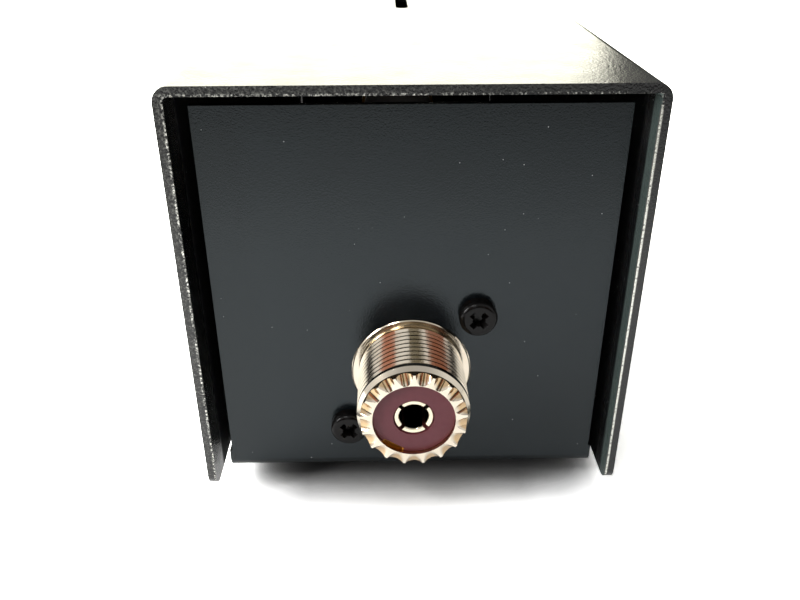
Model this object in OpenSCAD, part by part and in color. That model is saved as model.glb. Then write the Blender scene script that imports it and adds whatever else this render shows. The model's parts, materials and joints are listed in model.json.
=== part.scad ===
// Air-cooled RF dummy load in a folded sheet housing.
// A threaded coaxial socket on the front panel feeds a rod resistor that two spring clips hold inside.
// +Z is up, the socket faces -Y, and the origin is on the table under the middle of the whole part.

/* [Cover] */
// Outer width of the cover
cover_w = 63.5; // [58:0.5:80]
// Height of the cover, from its lower edge to its top face
cover_h = 62.4; // [56:0.2:80]
// Length of the cover, front to back
cover_l = 164; // [156:1:200]
// Thickness of the cover's sheet
cover_t = 1.3; // [0.8:0.1:1.6]
// Inside radius of the cover's two long bends
cover_bend_r = 0.8; // [0.4:0.1:3]
// Radius of the lower corners of the cover's sides
cover_tip_r = 2.4; // [0.5:0.1:6]

/* [Vents] */
// Width of each vent slot
vent_w = 2.4; // [1.6:0.1:4]
// Length of each vent slot
vent_l = 20; // [10:0.5:22]
// Metal left between two slots of one row
vent_bridge = 6; // [3:0.5:8]
// Distance between neighbouring rows of slots
vent_row_pitch = 13; // [6:0.5:14]
// Distance from the cover's front edge to the first slot
vent_start = 66; // [20:0.5:75]
// Slots in the middle row of the top and in the row of each side
vent_count = 3; // [2:1:3]
// Height of the row of slots in each side above the cover's lower edge
side_vent_h = 22; // [20:0.5:32]

/* [Chassis] */
// Thickness of the chassis sheet
chassis_t = 1.2; // [0.8:0.1:1.6]
// Inside radius of the chassis bends
chassis_bend_r = 0.8; // [0.4:0.1:1.6]
// Distance from each end of the cover in to the face of the end panel
panel_recess = 4.6; // [2:0.2:8]
// Gap between each edge of the front panel and the cover's side
panel_side_gap = 1.85; // [0.8:0.05:4]
// Gap between the upper edge of an end panel and the cover
panel_top_gap = 2.2; // [0.8:0.1:3]
// How much further the foot of the front panel reaches at each side
panel_foot_step = 0.4; // [0.1:0.05:0.6]
// Height of that wider foot
panel_foot_h = 3.7; // [3:0.1:8]
// Height of the side flanges that the cover is screwed to
flange_h = 12; // [10.5:0.5:18]
// Gap between the cover's side and a side flange or the rear panel
flange_gap = 0.1; // [0.05:0.05:0.4]
// Distance from each end panel's face to the ends of the side flanges
flange_setback = 6; // [4:0.5:12]

/* [Socket] */
// Outside diameter of the socket's thread
thread_d = 15.875; // [15.625:0.125:16.5]
// Height of the socket's axis above the cover's lower edge
socket_h = 18.4; // [16.5:0.1:30]
// Distance from the panel's face to the tips of the socket's crown
socket_reach = 12.6; // [10:0.2:18]
// How far the boss round the barrel stands out past the thread
boss_step = 0.95; // [0.5:0.05:1.4]
// How far the boss stands out of the panel
boss_rise = 0.2; // [0.1:0.1:1]
// Depth of the relief groove between the boss and the thread
relief_depth = 0.5; // [0.3:0.1:1]
// Width of the relief groove
relief_w = 0.3; // [0.2:0.1:1.5]
// Chamfer at the inner end of the thread
thread_chamfer = 0.3; // [0.1:0.05:0.4]
// Length of the plain tapered lead between the thread and the crown
lead_l = 0.65; // [0.4:0.05:1.2]
// Outside diameter of the toothed crown
crown_d = 14.9; // [13.6:0.1:15]
// Length of the crown past the barrel's lead
crown_h = 1.1; // [0.9:0.1:2]
// Number of notches round the crown
crown_notches = 17; // [12:1:18]
// Radius of each notch
notch_r = 1.4; // [0.6:0.05:1.45]
// Depth of each notch at the crown's outer edge
notch_depth = 0.65; // [0.3:0.05:0.8]
// Width of the plain rim between the crown's bore and its notches
notch_rim_w = 0.45; // [0.2:0.05:0.8]
// Side of the square mounting flange
mount_w = 25.4; // [25:0.1:30]
// Thickness of the mounting flange
mount_t = 1.6; // [1.2:0.1:3]
// Corner radius of the mounting flange
mount_corner_r = 1.5; // [0.5:0.1:3]
// Spacing of the holes in the mounting flange
mount_hole_pitch = 19.4; // [18.2:0.1:20.4]
// Diameter of the hub behind the mounting flange
hub_d = 13.5; // [13:0.1:15]
// Length of that hub
hub_l = 3; // [2:0.2:6]
// Thickness of the lip at the hub's end, on which the insulator seats
hub_lip = 1.2; // [0.8:0.1:1.6]

/* [Insulator and contact] */
// Diameter of the insulator
insulator_d = 11.5; // [10.5:0.1:12]
// How far the insulator's face lies behind the crown's tips
insulator_recess = 0.7; // [0.2:0.1:2]
// Diameter of the insulator's tail, behind its seat
tail_d = 9; // [7.4:0.1:10]
// How far the tail stands out of the hub
tail_l = 1; // [0.4:0.1:3]
// Wall of the tail behind the contact's shoulder
tail_wall = 1.4; // [0.8:0.1:2]
// Width of the mould mark in the rim of the insulator's face
mark_w = 3; // [1:0.1:4]
// Depth of the mould mark, in from the rim and down from the face
mark_depth = 0.6; // [0.2:0.1:1]
// Direction of the mould mark, in degrees from the right
mark_angle = 238; // [0:1:359]
// Outside diameter of the centre contact
contact_d = 5.7; // [5.2:0.1:6.4]
// Bore of the centre contact
contact_bore_d = 4; // [3.6:0.1:4.4]
// Depth of that bore
contact_bore_l = 11; // [8:0.5:14]
// How far the contact's mouth lies behind the insulator's face
contact_recess = 0.2; // [0:0.1:1]
// Chamfer round the contact's mouth
contact_chamfer = 0.2; // [0.1:0.05:0.35]
// Width of each of the four slots in the contact
slot_w = 0.6; // [0.3:0.05:0.7]
// Depth of those slots
slot_l = 6; // [3:0.5:8]
// Diameter of the solder cup at the contact's tail
cup_d = 3.8; // [3.2:0.1:4.6]
// Bore of the solder cup
cup_bore_d = 2.4; // [1.6:0.1:2.6]
// Length of the solder cup behind the insulator
cup_l = 7.5; // [5:0.5:9]
// Gap round the insulator in the shell, and round the contact in the insulator
fit_gap = 0.02; // [0.01:0.01:0.05]

/* [Screws and nuts] */
// Diameter of every screw
screw_d = 2.9; // [2.5:0.1:3.1]
// Diameter of every screw head
head_d = 5.6; // [5:0.1:6.4]
// Height of every screw head
head_h = 2; // [1.6:0.1:2.4]
// Radius of the rounded edge of every screw head
head_edge_r = 1.2; // [0.4:0.1:1.4]
// Width of the arms of the cross recess
cross_w = 0.95; // [0.5:0.05:1.2]
// Span of the cross recess
cross_l = 3; // [2:0.1:3.6]
// Depth of the cross recess
cross_depth = 1.2; // [0.6:0.1:1.4]
// Gap round a screw in a plain hole
hole_gap = 0.15; // [0.1:0.05:0.25]
// Gap round a screw in a tapped hole
tap_gap = 0.03; // [0.01:0.01:0.06]
// Length of screw past a nut or a flange
screw_end = 1.5; // [0.5:0.1:3]
// Width across the flats of the nuts
nut_af = 5.5; // [5:0.1:6.5]
// Height of the nuts
nut_h = 2.3; // [1.6:0.1:3]
// Outside diameter of the lock washers
washer_d = 5.2; // [4.6:0.1:6]
// Thickness of the lock washers
washer_t = 0.7; // [0.4:0.1:1]
// Width of the split in each lock washer
washer_split = 0.6; // [0.3:0.1:1]
// Distance from each end panel's face to the cover screws
cover_screw_inset = 22; // [12:0.5:40]
// Height of the cover screws above the cover's lower edge
cover_screw_h = 7; // [6:0.1:8]

/* [Resistor] */
// Diameter of the resistor rod
rod_d = 19; // [15:0.5:20]
// Length of the resistor rod
rod_l = 114; // [90:1:118]
// Chamfer at the ends of the rod
rod_chamfer = 0.8; // [0.3:0.1:2]
// Distance from the front panel's face to the rod
rod_setback = 24; // [22:0.5:28]
// Width of each spring clip, along the rod
clip_w = 12; // [9:0.5:18]
// Distance from the rod's end to its clip
clip_inset = 2; // [0:0.5:10]
// Thickness of the clips
clip_t = 0.8; // [0.5:0.1:1.2]
// Gap between a clip and the rod
clip_gap = 0.03; // [0.01:0.01:0.08]
// Half the distance between the outer faces of a clip's legs
clip_half_w = 6.6; // [5.6:0.1:7]
// Angle above the middle of the rod to which the clip's arms reach
clip_wrap = 30; // [10:1:40]
// Length of the flared tips of the clip's arms
clip_flare = 3; // [1.5:0.1:5]
// Room between a clip screw's head and the rod
head_room = 0.6; // [0.3:0.1:2]
// Height of the ceramic pillar under the front clip
pillar_h = 12.7; // [11:0.1:16]
// Diameter of the ceramic pillar
pillar_d = 10; // [8:0.2:14]
// Depth of the two grooves round the ceramic pillar
pillar_groove = 0.6; // [0.2:0.1:1]
// Width across the flats of the metal pillar under the rear clip
ground_pillar_af = 8; // [7:0.5:12]
// Depth to which screws enter the pillars
pillar_screw_l = 4.5; // [3:0.1:5]
// Width of the strap from the contact to the front clip
strap_w = 6; // [5:0.5:9]
// Thickness of the strap
strap_t = 0.5; // [0.3:0.1:1]
// Gap between the strap and the solder cup
strap_gap = 0.03; // [0.01:0.01:0.1]

/* [Feet] */
// Diameter of the feet where they meet the chassis
foot_d = 11; // [8:0.5:14]
// Height of the feet
foot_h = 4; // [3:0.2:8]
// How much narrower the feet are at the table, on each side
foot_taper = 0.8; // [0.2:0.1:2]
// Radius of the lower edge of the feet
foot_edge_r = 0.6; // [0.2:0.1:1]
// Distance from the cover's sides to the middle of the feet
foot_inset_x = 10.5; // [9:0.5:20]
// Distance from the end panels' faces to the middle of the feet
foot_inset_y = 14; // [10:0.5:40]

/* [Hidden] */
$fn = 64;
cut = 1;

// Places along the part, from the front to the back
overhang = socket_reach - panel_recess;
depth = cover_l + overhang;
front_y = overhang - depth / 2;
back_y = front_y + cover_l;
panel_y = front_y + panel_recess;
rear_panel_y = back_y - panel_recess;
middle_y = (front_y + back_y) / 2;

// Places above the table
base_z = foot_h;
floor_z = base_z + chassis_t;
socket_z = base_z + socket_h;
top_z = base_z + cover_h;

// Housing
inner_w = cover_w - 2 * cover_t;
panel_w = inner_w - 2 * panel_side_gap;
panel_foot_w = panel_w + 2 * panel_foot_step;
panel_h = cover_h - cover_t - panel_top_gap;
tray_w = inner_w - 2 * flange_gap;
chassis_l = rear_panel_y - panel_y;
vent_pitch = vent_l + vent_bridge;

// Socket, measured forward from the panel's face
thread_r = thread_d / 2;
boss_r = thread_r + boss_step;
crown_r = crown_d / 2;
relief_r = thread_r - relief_depth;
lead_end_at = socket_reach - crown_h;
mount_front_at = -chassis_t;
mount_back_at = mount_front_at - mount_t;
hub_end_at = mount_back_at - hub_l;
lip_at = hub_end_at + hub_lip;
insulator_at = socket_reach - insulator_recess;
tail_end_at = hub_end_at - tail_l;
contact_stop_at = tail_end_at + tail_wall;
contact_at = insulator_at - contact_recess;
cup_end_at = tail_end_at - cup_l;
washer_back_at = mount_back_at - washer_t;
nut_back_at = washer_back_at - nut_h;
insulator_r = insulator_d / 2;
tail_r = tail_d / 2;
contact_r = contact_d / 2;
cup_r = cup_d / 2;
mount_hole_at = mount_hole_pitch / 2;

// Screws
plain_hole_d = screw_d + 2 * hole_gap;
tapped_hole_d = screw_d + 2 * tap_gap;

// Resistor and what carries it
rod_r = rod_d / 2;
clip_in_r = rod_r + clip_gap;
clip_out_r = clip_in_r + clip_t;
clip_drop = rod_r + head_room + head_h;
ground_pillar_h = pillar_h + strap_t;
clip_base_z = floor_z + ground_pillar_h;
rod_z = clip_base_z + clip_t + clip_drop;
rod_front_y = panel_y + rod_setback;
rod_back_y = rod_front_y + rod_l;
front_clip_y = rod_front_y + clip_inset + clip_w / 2;
rear_clip_y = rod_back_y - clip_inset - clip_w / 2;
strap_cup_z = socket_z - cup_r - strap_gap;
strap_low_z = floor_z + pillar_h + strap_t;
strap_cup_y = panel_y - tail_end_at + cup_l / 4;
strap_bend_y = panel_y - cup_end_at + strap_t;
strap_low_y = rod_front_y - clip_inset;
strap_end_y = front_clip_y + head_d / 2 + strap_t;

// Places a section drawn in X and Z between two places along Y
module along_y(from_y, to_y) {
    translate([0, to_y, 0])
        rotate([90, 0, 0])
            linear_extrude(to_y - from_y)
                children();
}

// Places an outline drawn in Y and Z across a width, centred on X = 0
module across_x(width) {
    translate([-width / 2, 0, 0])
        rotate([90, 0, 90])
            linear_extrude(width)
                children();
}

// Turns a shape built along +Z so that it points forward from the front panel's face at the socket's axis
module from_panel() {
    translate([0, panel_y, socket_z])
        rotate([90, 0, 0])
            children();
}

// Rectangle standing on the X axis with its two upper corners rounded
module round_topped(width, height, radius) {
    translate([-width / 2, 0])
        square([width, height - radius]);
    translate([radius - width / 2, 0])
        square([width - 2 * radius, height]);
    for (side = [-1, 1])
        translate([side * (width / 2 - radius), height - radius])
            circle(radius);
}

// Rectangle standing on the X axis with its two lower corners rounded
module round_footed(width, height, radius) {
    translate([0, height])
        mirror([0, 1])
            round_topped(width, height, radius);
}

// Sheet folded up at both ends, seen along its folds
module folded_up(width, height, thickness, radius) {
    difference() {
        round_footed(width, height, radius + thickness);
        translate([0, thickness])
            round_footed(width - 2 * thickness, height + cut, radius);
    }
}

// Slot with round ends
module vent_slot() {
    square([vent_l - vent_w, vent_w], center = true);
    for (end = [-1, 1])
        translate([end * (vent_l - vent_w) / 2, 0])
            circle(d = vent_w);
}

// One row of slots, set back by a share of the distance between two slots
module vent_row(count, share) {
    for (i = [0 : count - 1])
        translate([vent_start + vent_l / 2 + (i + share) * vent_pitch, 0])
            vent_slot();
}

// Three rows of slots, with the outer rows set between the slots of the middle one
module vent_field() {
    vent_row(vent_count, 0);
    for (row = [-1, 1])
        translate([0, row * vent_row_pitch])
            vent_row(vent_count - 1, 0.5);
}

// Places copies at the four cover screws, as a shape built along +Z that points out of the housing
module at_cover_screws() {
    for (side = [-1, 1])
        for (y = [panel_y + cover_screw_inset, rear_panel_y - cover_screw_inset])
            translate([side * cover_w / 2, y, base_z + cover_screw_h])
                rotate([0, side * 90, 0])
                    children();
}

// Places copies at the two screws of the socket's flange, opposite each other across the barrel
module at_flange_screws() {
    for (side = [-1, 1])
        translate([side * mount_hole_at, side * mount_hole_at, 0])
            children();
}

// Places copies at the two pillars
module at_pillars() {
    for (y = [front_clip_y, rear_clip_y])
        translate([0, y, 0])
            children();
}

// Pan head screw with a cross recess: the head stands on Z = 0 and the shank hangs below it
module pan_screw(shank_l) {
    difference() {
        rotate_extrude()
            union() {
                square([head_d / 2 - head_edge_r, head_h]);
                square([head_d / 2, head_h - head_edge_r]);
                intersection() {
                    translate([head_d / 2 - head_edge_r, head_h - head_edge_r])
                        circle(head_edge_r);
                    square([head_d / 2, head_h]);
                }
            }
        for (turn = [45, 135])
            rotate([0, 0, turn])
                translate([-cross_l / 2, -cross_w / 2, head_h - cross_depth])
                    cube([cross_l, cross_w, cross_depth + cut]);
    }
    translate([0, 0, -shank_l])
        cylinder(h = shank_l, d = screw_d);
}

// Folded cover: a sheet bent down at both sides, open at both ends and below
module cover() {
    color("#26282a")
    difference() {
        intersection() {
            along_y(front_y, back_y)
                translate([0, base_z])
                    difference() {
                        round_topped(cover_w, cover_h, cover_bend_r + cover_t);
                        translate([0, -cut])
                            round_topped(inner_w, cover_h - cover_t + cut, cover_bend_r);
                    }
            across_x(cover_w + 2 * cut)
                translate([middle_y, base_z])
                    round_footed(cover_l, cover_h + cut, cover_tip_r);
        }
        translate([0, front_y, top_z - cover_t - cut])
            rotate([0, 0, 90])
                linear_extrude(cover_t + 2 * cut)
                    vent_field();
        across_x(cover_w + 2 * cut)
            translate([front_y, base_z + side_vent_h])
                vent_row(vent_count, 0);
        at_cover_screws()
            translate([0, 0, -cover_t - flange_gap / 2])
                cylinder(h = cover_t + cut, d = plain_hole_d);
    }
}

// Chassis: floor, both end panels and the two side flanges, folded from one sheet
module chassis() {
    color("#34383a")
    difference() {
        union() {
            across_x(panel_w)
                translate([(panel_y + rear_panel_y) / 2, base_z])
                    folded_up(chassis_l, panel_h, chassis_t, chassis_bend_r);
            across_x(panel_foot_w)
                translate([(panel_y + rear_panel_y) / 2, base_z])
                    folded_up(chassis_l, panel_foot_h, chassis_t, chassis_bend_r);
            across_x(tray_w)
                intersection() {
                    translate([(panel_y + rear_panel_y) / 2, base_z])
                        folded_up(chassis_l, panel_h, chassis_t, chassis_bend_r);
                    translate([rear_panel_y - chassis_t - chassis_bend_r, base_z])
                        square([chassis_t + chassis_bend_r, panel_h]);
                }
            along_y(panel_y + flange_setback, rear_panel_y - flange_setback)
                translate([0, base_z])
                    folded_up(tray_w, flange_h, chassis_t, chassis_bend_r);
        }
        from_panel() {
            translate([0, 0, -chassis_t - cut])
                cylinder(h = chassis_t + 2 * cut, r = boss_r + hole_gap);
            at_flange_screws()
                translate([0, 0, -chassis_t - cut])
                    cylinder(h = chassis_t + 2 * cut, d = plain_hole_d);
        }
        at_cover_screws()
            translate([0, 0, -cover_t - flange_gap - chassis_t - cut])
                cylinder(h = chassis_t + flange_gap / 2 + cut, d = tapped_hole_d);
        at_pillars()
            translate([0, 0, base_z - cut])
                cylinder(h = chassis_t + 2 * cut, d = plain_hole_d);
    }
}

// Four screws through the cover's sides into the chassis flanges
module cover_screws() {
    color("#1c1d1f")
    at_cover_screws()
        pan_screw(cover_t + flange_gap + chassis_t + screw_end);
}

// One foot: a tapered rubber button with a rounded lower edge
module foot(side, y) {
    tip_r = foot_d / 2 - foot_taper;
    color("#1d1d1d")
    translate([side * (cover_w / 2 - foot_inset_x), y, 0])
        rotate_extrude()
            union() {
                polygon([
                    [0, foot_edge_r],
                    [tip_r, foot_edge_r],
                    [foot_d / 2, foot_h],
                    [0, foot_h]
                ]);
                square([tip_r - foot_edge_r, foot_edge_r]);
                intersection() {
                    translate([tip_r - foot_edge_r, foot_edge_r])
                        circle(foot_edge_r);
                    square([tip_r, foot_edge_r]);
                }
            }
}

// Socket body: threaded barrel, toothed crown, square flange behind the panel and hub
module connector_shell() {
    notch_start_r = insulator_r + notch_rim_w;
    notch_run = crown_r - notch_start_r;
    color("#d8d2c4")
    from_panel()
    difference() {
        union() {
            rotate_extrude()
                polygon([
                    [tail_r + fit_gap, hub_end_at],
                    [hub_d / 2, hub_end_at],
                    [hub_d / 2, mount_front_at],
                    [boss_r, mount_front_at],
                    [boss_r, boss_rise],
                    [relief_r, boss_rise],
                    [relief_r, boss_rise + relief_w],
                    [thread_r - thread_chamfer, boss_rise + relief_w],
                    [thread_r, boss_rise + relief_w + thread_chamfer],
                    [thread_r, lead_end_at - lead_l],
                    [crown_r, lead_end_at],
                    [crown_r, socket_reach],
                    [insulator_r + fit_gap, socket_reach],
                    [insulator_r + fit_gap, lip_at],
                    [tail_r + fit_gap, lip_at]
                ]);
            difference() {
                translate([0, 0, mount_back_at])
                    linear_extrude(mount_t)
                        intersection() {
                            translate([0, -mount_w / 2])
                                round_topped(mount_w, mount_w, mount_corner_r);
                            translate([0, -mount_w / 2])
                                round_footed(mount_w, mount_w, mount_corner_r);
                        }
                translate([0, 0, mount_back_at - cut])
                    cylinder(h = mount_t + 2 * cut, d = hub_d);
                for (x = [-mount_hole_at, mount_hole_at])
                    for (y = [-mount_hole_at, mount_hole_at])
                        translate([x, y, mount_back_at - cut])
                            cylinder(h = mount_t + 2 * cut, d = plain_hole_d);
            }
        }
        for (i = [0 : crown_notches - 1])
            rotate([0, 0, 90 + (i + 0.5) * 360 / crown_notches])
                translate([notch_start_r, 0, socket_reach + notch_r])
                    rotate([0, 90 + atan(notch_depth / notch_run), 0])
                        translate([0, 0, -notch_run])
                            cylinder(h = 3 * notch_run, r = notch_r);
    }
}

// Phenolic insulator: seats on the hub's lip and stops the contact's shoulder
module connector_insulator() {
    color("#6b3f47")
    from_panel()
    difference() {
        rotate_extrude()
            polygon([
                [contact_r + fit_gap, insulator_at],
                [insulator_r, insulator_at],
                [insulator_r, lip_at],
                [tail_r, lip_at],
                [tail_r, tail_end_at],
                [cup_r + fit_gap, tail_end_at],
                [cup_r + fit_gap, contact_stop_at],
                [contact_r + fit_gap, contact_stop_at]
            ]);
        rotate([0, 0, mark_angle])
            translate([insulator_r - mark_depth, -mark_w / 2, insulator_at - mark_depth])
                cube([mark_depth + cut, mark_w, mark_depth + cut]);
    }
}

// Centre contact: slotted tube in front, solder cup behind
module center_contact() {
    color("#cbbf9f")
    from_panel()
    difference() {
        rotate_extrude()
            polygon([
                [0, contact_at - contact_bore_l],
                [contact_bore_d / 2, contact_at - contact_bore_l],
                [contact_bore_d / 2, contact_at - contact_chamfer],
                [contact_bore_d / 2 + contact_chamfer, contact_at],
                [contact_r - contact_chamfer, contact_at],
                [contact_r, contact_at - contact_chamfer],
                [contact_r, contact_stop_at],
                [cup_r, contact_stop_at],
                [cup_r, cup_end_at],
                [0, cup_end_at]
            ]);
        for (turn = [45, 135])
            rotate([0, 0, turn])
                translate([-contact_d, -slot_w / 2, contact_at - slot_l])
                    cube([2 * contact_d, slot_w, slot_l + cut]);
        translate([0, 0, cup_end_at - cut])
            cylinder(h = cup_l + cut, d = cup_bore_d);
        translate([-cup_d, 0, cup_end_at - cut])
            cube([2 * cup_d, cup_d, cup_l / 2 + cut]);
    }
}

// Two screws that hold the socket's flange behind the panel
module flange_screws() {
    color("#1c1d1f")
    from_panel()
        at_flange_screws()
            pan_screw(screw_end - nut_back_at);
}

// Split lock washers behind the flange
module flange_lock_washers() {
    color("#b9bcbd")
    from_panel()
        at_flange_screws()
            translate([0, 0, washer_back_at])
                difference() {
                    cylinder(h = washer_t, d = washer_d);
                    translate([0, 0, -cut])
                        cylinder(h = washer_t + 2 * cut, d = plain_hole_d);
                    translate([0, -washer_split / 2, -cut])
                        cube([washer_d, washer_split, washer_t + 2 * cut]);
                }
}

// Hexagon nuts on the flange screws
module flange_nuts() {
    color("#b9bcbd")
    from_panel()
        at_flange_screws()
            translate([0, 0, nut_back_at])
                difference() {
                    cylinder(h = nut_h, d = nut_af / cos(30), $fn = 6);
                    translate([0, 0, -cut])
                        cylinder(h = nut_h + 2 * cut, d = tapped_hole_d);
                }
}

// Resistor: a solid ceramic and carbon rod with metal-sprayed ends
module resistor_rod() {
    color("#4a4744")
    translate([0, rod_back_y, rod_z])
        rotate([90, 0, 0])
            rotate_extrude()
                polygon([
                    [0, 0],
                    [rod_r - rod_chamfer, 0],
                    [rod_r, rod_chamfer],
                    [rod_r, rod_l - rod_chamfer],
                    [rod_r - rod_chamfer, rod_l],
                    [0, rod_l]
                ]);
}

// Section of a spring clip round the rod's centre
module clip_section() {
    reach = 2 * clip_out_r;
    leg_angle = -acos(clip_half_w / clip_out_r);
    mid_angle = (leg_angle + clip_wrap) / 2;
    difference() {
        union() {
            translate([-clip_half_w, -clip_drop - clip_t])
                square([2 * clip_half_w, clip_t]);
            for (side = [0, 1])
                mirror([side, 0]) {
                    translate([clip_half_w - clip_t, -clip_drop - clip_t])
                        square([clip_t, clip_drop + clip_t + clip_out_r * sin(leg_angle)]);
                    intersection() {
                        circle(clip_out_r);
                        polygon([
                            [0, 0],
                            [reach * cos(leg_angle), reach * sin(leg_angle)],
                            [reach * cos(mid_angle), reach * sin(mid_angle)],
                            [reach * cos(clip_wrap), reach * sin(clip_wrap)]
                        ]);
                    }
                    translate([clip_out_r * cos(clip_wrap), clip_out_r * sin(clip_wrap)])
                        rotate([0, 0, 90 - clip_wrap])
                            translate([-clip_t, 0])
                                square([clip_flare, clip_t]);
                }
        }
        circle(clip_in_r);
    }
}

// One spring clip, bent from strip and drilled for its screw
module spring_clip(y) {
    color("#c9b27a")
    difference() {
        along_y(y - clip_w / 2, y + clip_w / 2)
            translate([0, rod_z])
                clip_section();
        translate([0, y, clip_base_z - cut])
            cylinder(h = clip_t + 2 * cut, d = plain_hole_d);
    }
}

// Screws that hold the clips down on the pillars
module clip_screws() {
    color("#b9bcbd")
    at_pillars()
        translate([0, 0, clip_base_z + clip_t])
            pan_screw(clip_t + strap_t + pillar_screw_l);
}

// Ceramic pillar that keeps the live end off the chassis
module ceramic_pillar() {
    color("#ece6d8")
    translate([0, front_clip_y, floor_z])
        difference() {
            cylinder(h = pillar_h, d = pillar_d);
            translate([0, 0, -cut])
                cylinder(h = pillar_h + 2 * cut, d = tapped_hole_d);
            for (share = [1 / 3, 2 / 3])
                translate([0, 0, share * pillar_h])
                    rotate_extrude()
                        translate([pillar_d / 2, 0])
                            circle(pillar_groove);
        }
}

// Metal pillar that grounds the far end of the rod
module ground_pillar() {
    color("#c2a45a")
    translate([0, rear_clip_y, floor_z])
        difference() {
            cylinder(h = ground_pillar_h, d = ground_pillar_af / cos(30), $fn = 6);
            translate([0, 0, -cut])
                cylinder(h = ground_pillar_h + 2 * cut, d = tapped_hole_d);
        }
}

// Screws up through the chassis floor into the pillars
module pillar_screws() {
    color("#1c1d1f")
    at_pillars()
        translate([0, 0, base_z])
            rotate([180, 0, 0])
                pan_screw(chassis_t + pillar_screw_l);
}

// Strap from the solder cup down to the front clip's screw
module contact_strap() {
    color("#b87345")
    difference() {
        across_x(strap_w)
            polygon([
                [strap_cup_y, strap_cup_z - strap_t],
                [strap_bend_y, strap_cup_z - strap_t],
                [strap_low_y, strap_low_z - strap_t],
                [strap_end_y, strap_low_z - strap_t],
                [strap_end_y, strap_low_z],
                [strap_low_y, strap_low_z],
                [strap_bend_y, strap_cup_z],
                [strap_cup_y, strap_cup_z]
            ]);
        translate([0, front_clip_y, strap_low_z - strap_t - cut])
            cylinder(h = strap_t + 2 * cut, d = plain_hole_d);
    }
}

cover();
chassis();
cover_screws();
foot(-1, panel_y + foot_inset_y);  // foot_front_left
foot(1, panel_y + foot_inset_y);  // foot_front_right
foot(-1, rear_panel_y - foot_inset_y);  // foot_rear_left
foot(1, rear_panel_y - foot_inset_y);  // foot_rear_right
connector_shell();
connector_insulator();
center_contact();
flange_screws();
flange_lock_washers();
flange_nuts();
resistor_rod();
spring_clip(front_clip_y);  // front_clip
spring_clip(rear_clip_y);  // rear_clip
clip_screws();
ceramic_pillar();
ground_pillar();
pillar_screws();
contact_strap();
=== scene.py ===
"""Looks of an air-cooled RF dummy load: paint, plating, thread, screws and a small white studio."""
import json
import math

import bpy
from mathutils import Matrix, Vector


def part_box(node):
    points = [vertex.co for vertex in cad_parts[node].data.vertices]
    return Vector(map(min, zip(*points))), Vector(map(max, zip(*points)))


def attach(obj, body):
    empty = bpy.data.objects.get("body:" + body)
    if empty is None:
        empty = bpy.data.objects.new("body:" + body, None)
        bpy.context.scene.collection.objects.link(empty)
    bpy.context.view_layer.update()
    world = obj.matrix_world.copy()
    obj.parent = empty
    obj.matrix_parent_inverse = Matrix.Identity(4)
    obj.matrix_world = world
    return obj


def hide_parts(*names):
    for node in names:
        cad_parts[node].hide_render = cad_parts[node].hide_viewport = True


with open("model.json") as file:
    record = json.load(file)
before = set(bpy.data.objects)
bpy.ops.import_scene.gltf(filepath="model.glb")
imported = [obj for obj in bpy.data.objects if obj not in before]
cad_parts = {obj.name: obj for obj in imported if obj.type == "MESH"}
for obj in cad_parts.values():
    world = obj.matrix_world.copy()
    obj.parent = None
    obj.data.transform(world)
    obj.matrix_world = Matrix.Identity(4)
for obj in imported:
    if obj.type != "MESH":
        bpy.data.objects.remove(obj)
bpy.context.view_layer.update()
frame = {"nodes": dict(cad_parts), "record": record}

nodes = frame["nodes"]

# Small pieces are modelled in millimetres and scaled to metres when they are put in place
MM = 0.001

# Places in the frame, in metres
panel_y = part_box("chassis")[0].y
shell_low, shell_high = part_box("connector_shell")
socket_z = (shell_low.z + shell_high.z) / 2
cover_low, cover_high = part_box("cover")
chassis_low_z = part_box("chassis")[0].z

# Socket sizes in millimetres: radii, and places forward of the panel's face
BARREL_R = 7.9375
THREAD_PITCH = 25.4 / 24
THREAD_DEPTH = 0.52
GROOVE_ROOT = 0.10
GROOVE_PROUD = 0.04
THREAD_START = 0.75
THREAD_TURNS = 9
LEAD_L = 0.65
LEAD_BREAK_R = 0.03
LEAD_BREAK_L = 0.04
LEAD_FOOT_R = 0.04
LEAD_FOOT_L = 0.06
REACH = (panel_y - shell_low.y) / MM
PANEL_T = 1.2
FLANGE_T = 1.6
FLANGE_W = (shell_high.x - shell_low.x) / MM
FLANGE_CORNER_R = 1.5
HUB_R = 6.75
HUB_END = (panel_y - shell_high.y) / MM
LIP = 1.2
TAIL_R = 4.52
BOSS_R = 8.8875
BOSS_RISE = 0.2
BOSS_RIM = 0.12
RELIEF_R = 7.4375
RELIEF_W = 0.3
CHAMFER = 0.3
CROWN_R = 7.45
CROWN_H = 1.1
CROWN_OVERLAP = 0.05
CROWN_TEETH = 17
NOTCH_R = 1.4
NOTCH_DEPTH = 0.65
NOTCH_START_R = 6.2
BORE_R = 5.77
SCREW_HOLE_AT = 9.7
SCREW_HOLE_R = 1.6

# Thickness of the cover's sheet in millimetres
SHEET_T = 1.3

# Screw sizes in millimetres
HEAD_R = 2.8
HEAD_H = 2.0
HEAD_EDGE_R = 0.8
SHANK_R = 1.45
HEAD_FLAT_R = 0.8
HEAD_RIM = 0.08
POINT_CHAMFER = 0.3
FLANGE_SHANK = 7.3
COVER_SHANK = 4.2
PILLAR_SHANK = 5.7

# Cross recess in millimetres; its taper is given as shares of an arm's length and width
RECESS_SPAN = 3.0
RECESS_ARM = 0.95
RECESS_DEPTH = 1.25
RECESS_PROUD = 0.3
RECESS_FOOT = (0.45, 0.6)
RECESS_MOUTH = (1.13, 1.08)
CORE_FOOT_R = 0.55
CORE_MOUTH_R = 1.05
CORE_PROUD = 0.05

# Rounding of edges in millimetres
COVER_EDGE = 0.22
CHASSIS_EDGE = 0.15
INSULATOR_EDGE = 0.08
CONTACT_EDGE = 0.05
CROWN_EDGE = 0.04
SCREW_EDGE = 0.05

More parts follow.
